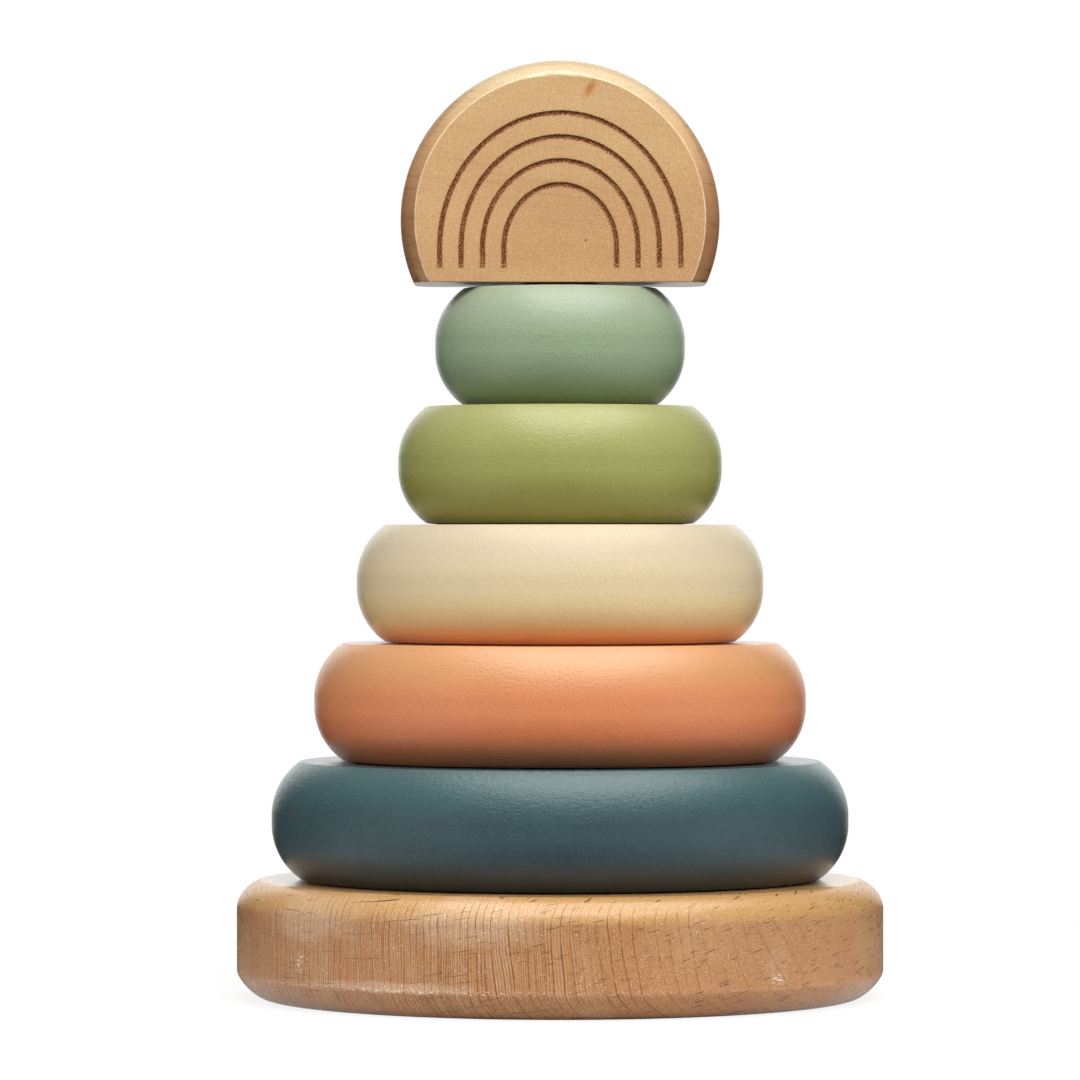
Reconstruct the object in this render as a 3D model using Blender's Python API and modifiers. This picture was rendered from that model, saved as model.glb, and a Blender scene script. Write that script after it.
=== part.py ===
"""Wooden stacking tower: a chamfered base with a glued peg, five rounded rings and an arched topper."""

import math

import bmesh
import bpy
from mathutils import Matrix

# Stock and stack, in metres. The base, the rings and the topper are cut from boards of one thickness.
GAP = 0.0003  # air left between faces that touch
LAYER_PITCH = 0.0256  # one layer of the stack, with the gap above it
STOCK = LAYER_PITCH - GAP  # thickness of a board

# Base
BASE_DIAMETER = 0.140
BASE_TOP_CHAMFER = 0.0060
BASE_BOTTOM_CHAMFER = 0.0050
BASE_EDGE_EASE = 0.0012  # how far from each chamfer edge the corner is rounded off

# Peg
PEG_DIAMETER = 0.0150
PEG_SOCKET_DEPTH = 0.0180
PEG_TIP_ROUND = 0.0040
PEG_FOOT_CHAMFER = 0.0010

# Rings, from the lowest to the highest
RING_DIAMETERS = {
    "ring_teal": 0.1250,
    "ring_coral": 0.1066,
    "ring_cream": 0.0882,
    "ring_olive": 0.0702,
    "ring_sage": 0.0542,
}
RING_BORE = 0.0180
RING_BAND = 0.0018  # height of the straight band at the widest place
RING_ARC_RADIUS = 0.0143  # rounding from that band to the flat faces
RING_EDGE_EASE = 0.0006
RING_BORE_CHAMFER = 0.0010

# Topper: a disc cut flat below its middle, standing on edge and facing -Y
TOPPER_RADIUS = 0.0344
TOPPER_CENTRE = 0.0138  # disc centre above the flat underside
TOPPER_GAP = 0.0007  # the topper sits on the peg's tip, so it clears the top ring by this much
TOPPER_CHAMFER = 0.0022
TOPPER_EDGE_ROUND = 0.0034  # rounding from the chamfer to the side
TOPPER_BORE = 0.0166
TOPPER_BORE_DEPTH = 0.0200

# Arches engraved on the topper's front face: half ellipses on short straight legs
ARCH_COUNT = 4
ARCH_HALF_WIDTH = 0.0259  # of the outermost arch
ARCH_WIDTH_STEP = 0.0046
ARCH_RISE = 0.0294  # of the outermost arch, above the spring line
ARCH_RISE_STEP = 0.00523
ARCH_SPRING = 0.0076  # spring line above the underside
ARCH_FOOT = 0.0038  # lower end of the legs above the underside
GROOVE_RADIUS = 0.0006
GROOVE_LIFT = 0.00007  # centre of the round groove in front of the face

# Facets
BASE_SIDES = 72
RING_SIDES = {"ring_teal": 64, "ring_coral": 60, "ring_cream": 56, "ring_olive": 48, "ring_sage": 48}
RING_ARC_STEPS = 4
PEG_SIDES = 32
PEG_TIP_STEPS = 3
TOPPER_SIDES = 72
TOPPER_ROUND_STEPS = 3
BORE_SIDES = 32
ARCH_STEPS = 24
MERGE = 0.00001
SHARP_ANGLE = math.radians(28)


def clear_scene():
    for thing in list(bpy.data.objects):
        bpy.data.objects.remove(thing, do_unlink=True)


def new_collection(name):
    collection = bpy.data.collections.new(name)
    bpy.context.scene.collection.children.link(collection)
    return collection


def linear(channel):
    """An sRGB channel, 0 to 255, as linear light."""
    value = channel / 255
    return value / 12.92 if value <= 0.04045 else ((value + 0.055) / 1.055) ** 2.4


def finish(name, red, green, blue, roughness):
    material = bpy.data.materials.new(name)
    material.use_nodes = True
    shader = material.node_tree.nodes["Principled BSDF"]
    colour = (linear(red), linear(green), linear(blue), 1.0)
    shader.inputs["Base Color"].default_value = colour
    shader.inputs["Roughness"].default_value = roughness
    shader.inputs["Metallic"].default_value = 0.0
    material.diffuse_color = colour
    return material


def bake(piece):
    """Apply the piece's modifiers, then shade it smooth between its crisp edges."""
    graph = bpy.context.evaluated_depsgraph_get()
    mesh = bpy.data.meshes.new_from_object(piece.evaluated_get(graph))
    piece.modifiers.clear()
    piece.data = mesh
    mesh.name = piece.name
    mesh.shade_smooth()
    mesh.set_sharp_from_angle(angle=SHARP_ANGLE)


def turned(name, profile, sides, collection, ring=False):
    """A solid turned about Z from (radius, height) points that run down its outer side."""
    mesh = bpy.data.meshes.new(name)
    points = [(radius, 0.0, height) for radius, height in profile]
    edges = [(i, i + 1) for i in range(len(points) - 1)]
    if ring:
        edges.append((len(points) - 1, 0))
    mesh.from_pydata(points, edges, [])
    piece = bpy.data.objects.new(name, mesh)
    collection.objects.link(piece)
    screw = piece.modifiers.new("turning", "SCREW")
    screw.axis = "Z"
    screw.angle = math.tau
    screw.steps = sides
    screw.render_steps = sides
    screw.use_merge_vertices = True
    screw.merge_threshold = MERGE
    bake(piece)
    return piece


def cutter(name, mesh, collection):
    tool = bpy.data.objects.new(name, mesh)
    tool.hide_render = True
    tool.display_type = "WIRE"
    collection.objects.link(tool)
    return tool


def box_cutter(name, size, centre, collection):
    mesh = bpy.data.meshes.new(name)
    shape = bmesh.new()
    bmesh.ops.create_cube(shape, size=1.0)
    bmesh.ops.scale(shape, vec=size, verts=shape.verts)
    bmesh.ops.translate(shape, vec=centre, verts=shape.verts)
    shape.to_mesh(mesh)
    shape.free()
    return cutter(name, mesh, collection)


def bore_cutter(name, radius, depth, collection):
    """A round bore that runs up along +Y from y = 0, with its mouth open below."""
    mesh = bpy.data.meshes.new(name)
    shape = bmesh.new()
    bmesh.ops.create_cone(
        shape, cap_ends=True, segments=BORE_SIDES, radius1=radius, radius2=radius, depth=2 * depth
    )
    bmesh.ops.rotate(shape, matrix=Matrix.Rotation(math.pi / 2, 3, "X"), verts=shape.verts)
    shape.to_mesh(mesh)
    shape.free()
    return cutter(name, mesh, collection)


def groove_cutter(name, path, face, collection):
    """A round groove along the path of (x, y) points, in the face at z = face."""
    curve = bpy.data.curves.new(name, "CURVE")
    curve.dimensions = "3D"
    curve.bevel_depth = GROOVE_RADIUS
    curve.bevel_resolution = 1
    curve.use_fill_caps = True
    spline = curve.splines.new("POLY")
    spline.points.add(len(path) - 1)
    for point, (x, y) in zip(spline.points, path):
        point.co = (x, y, face + GROOVE_LIFT, 1.0)
    guide = bpy.data.objects.new(name, curve)
    collection.objects.link(guide)
    graph = bpy.context.evaluated_depsgraph_get()
    mesh = bpy.data.meshes.new_from_object(guide.evaluated_get(graph))
    bpy.data.objects.remove(guide, do_unlink=True)
    shape = bmesh.new()
    shape.from_mesh(mesh)
    bmesh.ops.remove_doubles(shape, verts=shape.verts, dist=MERGE)
    bmesh.ops.recalc_face_normals(shape, faces=shape.faces)
    shape.to_mesh(mesh)
    shape.free()
    return cutter(name, mesh, collection)


def cut(piece, tool):
    boolean = piece.modifiers.new(tool.name, "BOOLEAN")
    boolean.operation = "DIFFERENCE"
    boolean.solver = "EXACT"
    boolean.object = tool


def make_base(parts):
    """A disc with chamfered edges and a blind socket for the peg in the middle of its top."""
    radius = BASE_DIAMETER / 2
    socket = PEG_DIAMETER / 2 + GAP
    top = BASE_TOP_CHAMFER
    bottom = BASE_BOTTOM_CHAMFER
    ease = BASE_EDGE_EASE
    slant = ease * math.sqrt(0.5)
    profile = [
        (0.0, STOCK - PEG_SOCKET_DEPTH),
        (socket, STOCK - PEG_SOCKET_DEPTH),
        (socket, STOCK),
        (radius - top - ease, STOCK),
        (radius - top + slant, STOCK - slant),
        (radius - slant, STOCK - top + slant),
        (radius, STOCK - top - ease),
        (radius, bottom + ease),
        (radius - slant, bottom - slant),
        (radius - bottom + slant, slant),
        (radius - bottom - ease, 0.0),
        (0.0, 0.0),
    ]
    return turned("base_disc", profile, BASE_SIDES, parts)


def make_peg(length, parts):
    """A dowel with a rounded tip and a small chamfer at its glued foot. Its origin is at the foot."""
    radius = PEG_DIAMETER / 2
    flat = radius - PEG_TIP_ROUND
    profile = [(0.0, length)]
    for step in range(PEG_TIP_STEPS + 1):
        turn = math.pi / 2 * (1 - step / PEG_TIP_STEPS)
        across = flat + PEG_TIP_ROUND * math.cos(turn)
        height = length - PEG_TIP_ROUND + PEG_TIP_ROUND * math.sin(turn)
        profile.append((across, height))
    profile += [(radius, PEG_FOOT_CHAMFER), (radius - PEG_FOOT_CHAMFER, 0.0), (0.0, 0.0)]
    return turned("peg", profile, PEG_SIDES, parts)


def make_ring(name, diameter, parts):
    """A board-thick ring, rounded outside by two arcs that meet a narrow straight band."""
    centre = diameter / 2 - RING_ARC_RADIUS
    reach = math.asin((STOCK - RING_BAND) / 2 / RING_ARC_RADIUS)
    flat = centre + RING_ARC_RADIUS * math.cos(reach)
    ease = RING_EDGE_EASE
    last = reach - ease / RING_ARC_RADIUS
    bore = RING_BORE / 2
    profile = [(flat - ease, STOCK)]
    for side in (1, -1):
        turns = [last * (1 - step / RING_ARC_STEPS) for step in range(RING_ARC_STEPS + 1)]
        for turn in turns if side > 0 else reversed(turns):
            across = centre + RING_ARC_RADIUS * math.cos(turn)
            height = RING_BAND / 2 + RING_ARC_RADIUS * math.sin(turn)
            profile.append((across, STOCK / 2 + side * height))
    profile += [
        (flat - ease, 0.0),
        (bore + RING_BORE_CHAMFER, 0.0),
        (bore, RING_BORE_CHAMFER),
        (bore, STOCK - RING_BORE_CHAMFER),
        (bore + RING_BORE_CHAMFER, STOCK),
    ]
    return turned(name, profile, RING_SIDES[name], parts, ring=True)


def arch_path(index):
    """Points of one engraved arch, from its left foot over the crown to its right foot."""
    wide = ARCH_HALF_WIDTH - index * ARCH_WIDTH_STEP
    rise = ARCH_RISE - index * ARCH_RISE_STEP
    spring = ARCH_SPRING - TOPPER_CENTRE
    foot = ARCH_FOOT - TOPPER_CENTRE
    path = [(-wide, foot)]
    for step in range(ARCH_STEPS + 1):
        turn = math.pi * (1 - step / ARCH_STEPS)
        path.append((wide * math.cos(turn), spring + rise * math.sin(turn)))
    path.append((wide, foot))
    return path


def make_topper(parts, cutters):
    """The disc lies flat while it is cut: local +Y is up and local +Z is its front."""
    half = STOCK / 2
    turn_edge = math.pi / 4
    straight = half - TOPPER_CHAMFER - TOPPER_EDGE_ROUND * math.sin(turn_edge)
    profile = []
    for side in (1, -1):
        edge = []
        for step in range(TOPPER_ROUND_STEPS + 1):
            turn = turn_edge * (1 - step / TOPPER_ROUND_STEPS)
            across = TOPPER_RADIUS - TOPPER_EDGE_ROUND * (1 - math.cos(turn))
            edge.append((across, side * (straight + TOPPER_EDGE_ROUND * math.sin(turn))))
        face = [(0.0, side * half), (edge[0][0] - TOPPER_CHAMFER, side * half)]
        profile += face + edge if side > 0 else edge[::-1] + face[::-1]
    topper = turned("rainbow_topper", profile, TOPPER_SIDES, parts)

    under = 2 * TOPPER_RADIUS
    cut(topper, box_cutter("underside_cut", (2 * under, under, under),
                           (0.0, -TOPPER_CENTRE - under / 2, 0.0), cutters))
    bore = bore_cutter("peg_bore_cut", TOPPER_BORE / 2, TOPPER_BORE_DEPTH, cutters)
    bore.location.y = -TOPPER_CENTRE
    cut(topper, bore)
    for index in range(ARCH_COUNT):
        cut(topper, groove_cutter(f"arch_cut_{index + 1}", arch_path(index), half, cutters))
    bpy.context.view_layer.update()
    bake(topper)
    # The finished piece has its origin on the peg's axis, at its underside.
    stand = Matrix.Rotation(math.pi / 2, 4, "X")
    topper.data.transform(Matrix.Translation((0.0, 0.0, TOPPER_CENTRE)) @ stand)
    return topper


def stack(piece, below, height):
    """Carry the piece on the one below it, this far above that one's origin."""
    piece.parent = below
    piece.location.z = height


clear_scene()
parts = new_collection("stacking_tower")
cutters = new_collection("stacking_tower_cutters")

finishes = {
    "base_disc": finish("beech_lacquer", 190, 146, 98, 0.42),
    "peg": finish("peg_wood", 214, 178, 132, 0.55),
    "ring_teal": finish("teal_paint", 72, 99, 104, 0.45),
    "ring_coral": finish("coral_paint", 217, 138, 98, 0.45),
    "ring_cream": finish("cream_paint", 219, 203, 164, 0.45),
    "ring_olive": finish("olive_paint", 151, 163, 88, 0.45),
    "ring_sage": finish("sage_paint", 143, 170, 146, 0.45),
    "rainbow_topper": finish("topper_wood", 205, 166, 116, 0.50),
}

root = bpy.data.objects.new("stacking_tower_origin", None)
parts.objects.link(root)

base = make_base(parts)
stack(base, root, 0.0)

topper_height = LAYER_PITCH * (len(RING_DIAMETERS) + 1) - GAP + TOPPER_GAP
peg_foot = STOCK - PEG_SOCKET_DEPTH + GAP
peg_tip = topper_height + TOPPER_BORE_DEPTH - GAP
stack(make_peg(peg_tip - peg_foot, parts), base, peg_foot)

below = base
for ring_name, ring_diameter in RING_DIAMETERS.items():
    ring = make_ring(ring_name, ring_diameter, parts)
    stack(ring, below, LAYER_PITCH)
    below = ring

stack(make_topper(parts, cutters), below, STOCK + TOPPER_GAP)

for piece_name, material in finishes.items():
    mesh = parts.objects[piece_name].data
    mesh.materials.clear()
    mesh.materials.append(material)
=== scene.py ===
import math

import bmesh
import bpy
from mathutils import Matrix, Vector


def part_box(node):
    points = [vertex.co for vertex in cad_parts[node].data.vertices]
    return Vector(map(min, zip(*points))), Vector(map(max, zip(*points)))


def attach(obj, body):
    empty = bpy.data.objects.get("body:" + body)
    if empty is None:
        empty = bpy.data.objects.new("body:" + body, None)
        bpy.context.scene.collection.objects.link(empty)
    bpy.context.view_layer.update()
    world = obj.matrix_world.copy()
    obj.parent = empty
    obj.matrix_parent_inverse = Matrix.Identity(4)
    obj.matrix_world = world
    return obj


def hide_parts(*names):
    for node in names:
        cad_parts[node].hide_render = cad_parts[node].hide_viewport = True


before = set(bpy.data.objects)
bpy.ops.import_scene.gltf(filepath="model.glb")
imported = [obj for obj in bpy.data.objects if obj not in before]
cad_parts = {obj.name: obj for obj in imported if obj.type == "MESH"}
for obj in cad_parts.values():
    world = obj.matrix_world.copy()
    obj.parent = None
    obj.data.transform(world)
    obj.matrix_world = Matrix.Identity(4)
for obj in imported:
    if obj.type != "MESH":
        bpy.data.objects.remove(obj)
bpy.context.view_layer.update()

print("frame loaded:", ", ".join(sorted(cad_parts)))


# small modelling helpers

def startFresh():
    if bpy.context.mode != "OBJECT":
        bpy.ops.object.mode_set(mode="OBJECT")
    bpy.ops.object.select_all(action="DESELECT")


def takePrimitive(name):
    # the primitive that was just added: named, its place moved into its mesh
    piece = bpy.context.active_object
    piece.name = name
    piece.data.name = name
    bpy.ops.object.transform_apply(location=True, rotation=True, scale=True)
    return piece


def openEdit(piece):
    startFresh()
    bpy.context.view_layer.objects.active = piece
    piece.select_set(True)
    bpy.ops.object.mode_set(mode="EDIT")
    bpy.ops.mesh.select_mode(type="VERT")
    bpy.ops.mesh.select_all(action="DESELECT")


def closeEdit():
    bpy.ops.object.mode_set(mode="OBJECT")


def pick(kind, test):
    # selects the vertices, edges or faces of the open mesh that pass the test
    mesh = bmesh.from_edit_mesh(bpy.context.active_object.data)
    for item in mesh.verts[:] + mesh.edges[:] + mesh.faces[:]:
        item.select_set(False)
    bpy.ops.mesh.select_mode(type={"verts": "VERT", "edges": "EDGE", "faces": "FACE"}[kind])
    for item in getattr(mesh, kind):
        if test(item):
            item.select_set(True)
    bmesh.update_edit_mesh(bpy.context.active_object.data)


def near(value, goal, slack=1e-5):
    return abs(value - goal) < slack


def flatLoop(edge, axis, level):
    # both ends of the edge lie on one level, so the edge runs round a rim there
    return all(near(vert.co[axis], level) for vert in edge.verts)


def bevelPicked(width, steps=1, corners="EDGES", curve=0.5):
    bpy.ops.mesh.bevel(offset_type="OFFSET", offset=width, segments=steps, profile=curve,
                       affect=corners, clamp_overlap=False)


def sliceOff(place, normal, **keep):
    # cuts the whole open mesh along a plane, closer than the operator's own 0.1 mm
    bpy.ops.mesh.select_all(action="SELECT")
    bpy.ops.mesh.bisect(plane_co=place, plane_no=normal, threshold=1e-6, **keep)


def tidySkin():
    bpy.ops.mesh.select_all(action="SELECT")
    bpy.ops.mesh.remove_doubles(threshold=2e-6)
    bpy.ops.mesh.normals_make_consistent(inside=False)
    bpy.ops.mesh.select_all(action="DESELECT")


def smoothShade(piece, degrees):
    startFresh()
    bpy.context.view_layer.objects.active = piece
    piece.select_set(True)
    bpy.ops.object.shade_smooth_by_angle(angle=math.radians(degrees))
    # large flats stay flat beside small bevels
    even = piece.modifiers.new("evenFlats", "WEIGHTED_NORMAL")
    even.keep_sharp = True
    bpy.ops.object.modifier_apply(modifier=even.name)


def carve(piece, cutter):
    # cuts the cutter out of the piece and throws the cutter away
    startFresh()
    bpy.context.view_layer.objects.active = piece
    piece.select_set(True)
    cut = piece.modifiers.new("carve", "BOOLEAN")
    cut.operation = "DIFFERENCE"
    cut.solver = "EXACT"
    cut.object = cutter
    bpy.ops.object.modifier_apply(modifier=cut.name)
    bpy.data.objects.remove(cutter, do_unlink=True)


def placeOn(piece, body, node, finish):
    piece.data.materials.clear()
    piece.data.materials.append(finish)
    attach(piece, body)
    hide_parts(node)


# small shader helpers

def srgb(red, green, blue):
    def linear(channel):
        value = channel / 255
        return value / 12.92 if value <= 0.04045 else ((value + 0.055) / 1.055) ** 2.4
    return (linear(red), linear(green), linear(blue), 1.0)


class Shader:
    # the node tree of a material or of the world, with short calls for the nodes used over and over

    def __init__(self, owner):
        owner.use_nodes = True
        self.owner = owner
        self.tree = owner.node_tree

    def add(self, kind, **settings):
        node = self.tree.nodes.new(kind)
        for key, value in settings.items():
            setattr(node, key, value)
        return node

    def feed(self, socket, value):
        if isinstance(value, bpy.types.NodeSocket):
            self.tree.links.new(value, socket)
        elif value is not None:
            socket.default_value = value

    def math(self, operation, first, second=None):
        node = self.add("ShaderNodeMath", operation=operation)
        for socket, value in zip(node.inputs, (first, second)):
            self.feed(socket, value)
        return node.outputs[0]

    def product(self, first, *others):
        for other in others:
            first = self.math("MULTIPLY", first, other)
        return first

    def vector(self, operation, first, second=None, scale=None):
        node = self.add("ShaderNodeVectorMath", operation=operation)
        self.feed(node.inputs[0], first)
        self.feed(node.inputs[1], second)
        if scale is not None:
            self.feed(node.inputs["Scale"], scale)
        return node.outputs["Value"] if operation in ("LENGTH", "DOT_PRODUCT") else node.outputs[0]

    def ramp(self, value, low, high, fromLow=0.0, fromHigh=1.0, smooth=True):
        node = self.add("ShaderNodeMapRange", interpolation_type="SMOOTHSTEP" if smooth else "LINEAR")
        for key, number in (("Value", value), ("From Min", fromLow), ("From Max", fromHigh),
                            ("To Min", low), ("To Max", high)):
            self.feed(node.inputs[key], number)
        return node.outputs[0]

    def noise(self, place, scale, detail=2.0, rough=0.5, twist=0.0):
        node = self.add("ShaderNodeTexNoise")
        for key, value in (("Vector", place), ("Scale", scale), ("Detail", detail),
                           ("Roughness", rough), ("Distortion", twist)):
            self.feed(node.inputs[key], value)
        return node.outputs["Fac"]

    def cells(self, place, scale, scatter=1.0):
        node = self.add("ShaderNodeTexVoronoi", feature="F1")
        for key, value in (("Vector", place), ("Scale", scale), ("Randomness", scatter)):
            self.feed(node.inputs[key], value)
        return node.outputs["Distance"], node.outputs["Color"]

    def blend(self, amount, first, second):
        node = self.add("ShaderNodeMix", data_type="RGBA")
        for index, value in ((0, amount), (6, first), (7, second)):     # the colour sockets
            self.feed(node.inputs[index], value)
        return node.outputs[2]

    def tint(self, amount, colour, tone):
        # blends towards a tone that is written as 0 to 255
        return self.blend(amount, colour, srgb(*tone))

    def map(self, place, scale=(1, 1, 1), turn=(0, 0, 0), shift=(0, 0, 0)):
        node = self.add("ShaderNodeMapping", vector_type="POINT")
        self.feed(node.inputs["Vector"], place)
        node.inputs["Scale"].default_value = scale
        node.inputs["Rotation"].default_value = turn
        node.inputs["Location"].default_value = shift
        return node.outputs[0]

    def millimetres(self):
        place = self.add("ShaderNodeTexCoord").outputs["Object"]
        return self.vector("SCALE", place, scale=1000.0)

    def axes(self, place):
        node = self.add("ShaderNodeSeparateXYZ")
        self.feed(node.inputs[0], place)
        return node.outputs[0], node.outputs[1], node.outputs[2]

    def join(self, x, y, z):
        node = self.add("ShaderNodeCombineXYZ")
        for socket, value in zip(node.inputs, (x, y, z)):
            self.feed(socket, value)
        return node.outputs[0]

    def facing(self, direction):
        # how squarely the surface faces along a direction, either way round
        normal = self.add("ShaderNodeTexCoord").outputs["Normal"]
        return self.math("ABSOLUTE", self.vector("DOT_PRODUCT", normal, direction))

    def spotDistance(self, across, up, spot, ripple):
        # 1 on the wavy rim of an oval spot: centre across, centre up, half width, half height
        aside = self.math("DIVIDE", self.math("SUBTRACT", across, spot[0]), spot[2])
        above = self.math("DIVIDE", self.math("SUBTRACT", up, spot[1]), spot[3])
        return self.math("ADD", self.vector("LENGTH", self.join(aside, above, 0.0)), ripple)

    def bump(self, height, depth, strength=1.0):
        node = self.add("ShaderNodeBump")
        self.feed(node.inputs["Height"], height)
        node.inputs["Strength"].default_value = strength
        node.inputs["Distance"].default_value = depth
        return node.outputs[0]

    def finish(self, colour, roughness, normal, sheen=0.5):
        surface = self.tree.nodes["Principled BSDF"]
        self.feed(surface.inputs["Base Color"], colour)
        self.feed(surface.inputs["Roughness"], roughness)
        self.feed(surface.inputs["Normal"], normal)
        surface.inputs["Specular IOR Level"].default_value = sheen
        return self.owner


def newFinish(name):
    return Shader(bpy.data.materials.new(name))


# satin paint over wood: fine grain and orange peel under the gloss, pits and faint mottling

paintCoat = {
    "squash": 1.8,                      # the texture is finer in height than round the ring
    "mottle": 0.10,                     # scales of the noises, per millimetre
    "grain": 3.2,
    "peel": 0.8,
    "pit": 0.5,
    "gleam": 0.3,
    "rough": (0.14, 0.21),
    "pitShade": 0.40,                   # how dark a pit is, beside the paint round it
    # the shares below place the painted shading of each ring's tones
    "side": (0.28, 0.50),               # shares of the height: here the lower tone turns into the middle one,
    "shoulder": (0.55, 0.85),           # here the middle one into the upper one,
    "foot": 0.02,                       # and up to here the foot has its full tone
}


def satinPaint(piece, coat):
    low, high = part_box(piece["node"])
    shadedTones, gloss = piece["shadedTones"], piece["gloss"]
    sh = newFinish(piece["slot"])
    place = sh.millimetres()
    along = sh.map(place, scale=(1, 1, coat["squash"]))
    mottle = sh.noise(place, coat["mottle"], 4.0, 0.6)
    grain = sh.noise(along, coat["grain"], 2.0, 0.6)
    peel = sh.noise(along, coat["peel"], 2.0, 0.5)
    pitField, pitPick = sh.cells(along, coat["pit"])
    pits = sh.product(sh.ramp(pitField, 1.0, 0.0, 0.05, 0.13),
                      sh.ramp(sh.axes(pitPick)[0], 0.0, 1.0, 0.45, 0.70))
    pits = sh.math("MAXIMUM", pits, sh.ramp(grain, 0.0, 0.45, 0.60, 0.72))

    # painted shading down the ring: one tone on the shoulder, one on the side and one below, where the side
    # tone is the paint's own colour and the other two stand for how the light falls there, and one at the
    # foot, a painted shade above the ring below, on the cream ring a painted orange reflection of the coral
    # ring
    level = sh.ramp(sh.axes(place)[2], 0.0, 1.0, low.z * 1000, high.z * 1000, smooth=False)
    skin = sh.tint(sh.ramp(level, 0.0, 1.0, *coat["side"]), srgb(*shadedTones["lower"]), shadedTones["middle"])
    skin = sh.tint(sh.ramp(level, 0.0, 1.0, *coat["shoulder"]), skin, shadedTones["upper"])
    skin = sh.tint(sh.ramp(level, 1.0, 0.0, coat["foot"], shadedTones["footShadeRise"]), skin, shadedTones["foot"])
    shade = sh.math("ADD", sh.product(mottle, 0.3), sh.ramp(grain, 0.0, 0.7, 0.28, 0.72, smooth=False))
    dark = sh.vector("SCALE", skin, scale=coat["pitShade"])
    fleck = sh.ramp(shade, 1 - gloss["fleck"], 1 + gloss["fleck"], smooth=False)
    skin = sh.vector("SCALE", skin, scale=fleck)
    skin = sh.blend(sh.product(pits, gloss["pits"]), skin, dark)

    rough = sh.ramp(sh.noise(along, coat["gleam"], 3.0), *coat["rough"])
    height = sh.math("ADD", grain, sh.product(peel, 1.3))
    return sh.finish(skin, rough, sh.bump(height, gloss["grain"]), gloss["sheen"])


# rings: a circle upright in its section, trimmed to the board and spun about the peg

# each ring's tones hold painted shading: middle is the paint's own colour, upper and lower stand for how the
# light falls, and foot is painted shade above the ring below, on the cream ring a painted orange reflection
# of the coral ring
ringPieces = [
    {"node": "ring_teal", "body": "teal", "slot": "teal_paint", "name": "tealRing",
     "shadedTones": {"upper": (55, 84, 86), "middle": (59, 80, 84), "lower": (53, 75, 82),
               "foot": (36, 55, 70), "footShadeRise": 0.30},
     "gloss": {"grain": 0.00007, "fleck": 0.40, "pits": 0.7, "sheen": 0.5}},
    {"node": "ring_coral", "body": "coral", "slot": "coral_paint", "name": "coralRing",
     "shadedTones": {"upper": (199, 142, 94), "middle": (213, 136, 92), "lower": (222, 129, 83),
               "foot": (226, 130, 84), "footShadeRise": 0.18},
     "gloss": {"grain": 0.00006, "fleck": 0.20, "pits": 0.6, "sheen": 0.52}},
    {"node": "ring_cream", "body": "cream", "slot": "cream_paint", "name": "creamRing",
     "shadedTones": {"upper": (196, 182, 154), "middle": (215, 197, 160), "lower": (234, 210, 158),
               "foot": (231, 170, 128), "footShadeRise": 0.18},
     "gloss": {"grain": 0.00005, "fleck": 0.12, "pits": 0.45, "sheen": 0.18}},
    {"node": "ring_olive", "body": "olive", "slot": "olive_paint", "name": "oliveRing",
     "shadedTones": {"upper": (153, 154, 95), "middle": (155, 157, 93), "lower": (157, 157, 84),
               "foot": (141, 140, 66), "footShadeRise": 0.18},
     "gloss": {"grain": 0.00006, "fleck": 0.18, "pits": 0.6, "sheen": 0.42}},
    {"node": "ring_sage", "body": "sage", "slot": "sage_paint", "name": "sageRing",
     "shadedTones": {"upper": (146, 159, 134), "middle": (144, 162, 131), "lower": (145, 164, 133),
               "foot": (130, 147, 121), "footShadeRise": 0.18},
     "gloss": {"grain": 0.00006, "fleck": 0.17, "pits": 0.6, "sheen": 0.36}},
]

ringShape = {
    "arcRadius": 0.0143,    # rounding of the side
    "band": 0.0018,         # straight band between the two roundings
    "bore": 0.0090,
    "edgeEase": 0.0004,
    "boreEase": 0.0010,
    "settle": 0.00028,      # the underside comes down this far, to sit on what is below,
    "relief": 0.0030,       # except for this width along its rim
    "arcPoints": 144,
    "easeSteps": 4,
    "turns": 180,
    "smoothAngle": 40,
}


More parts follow.
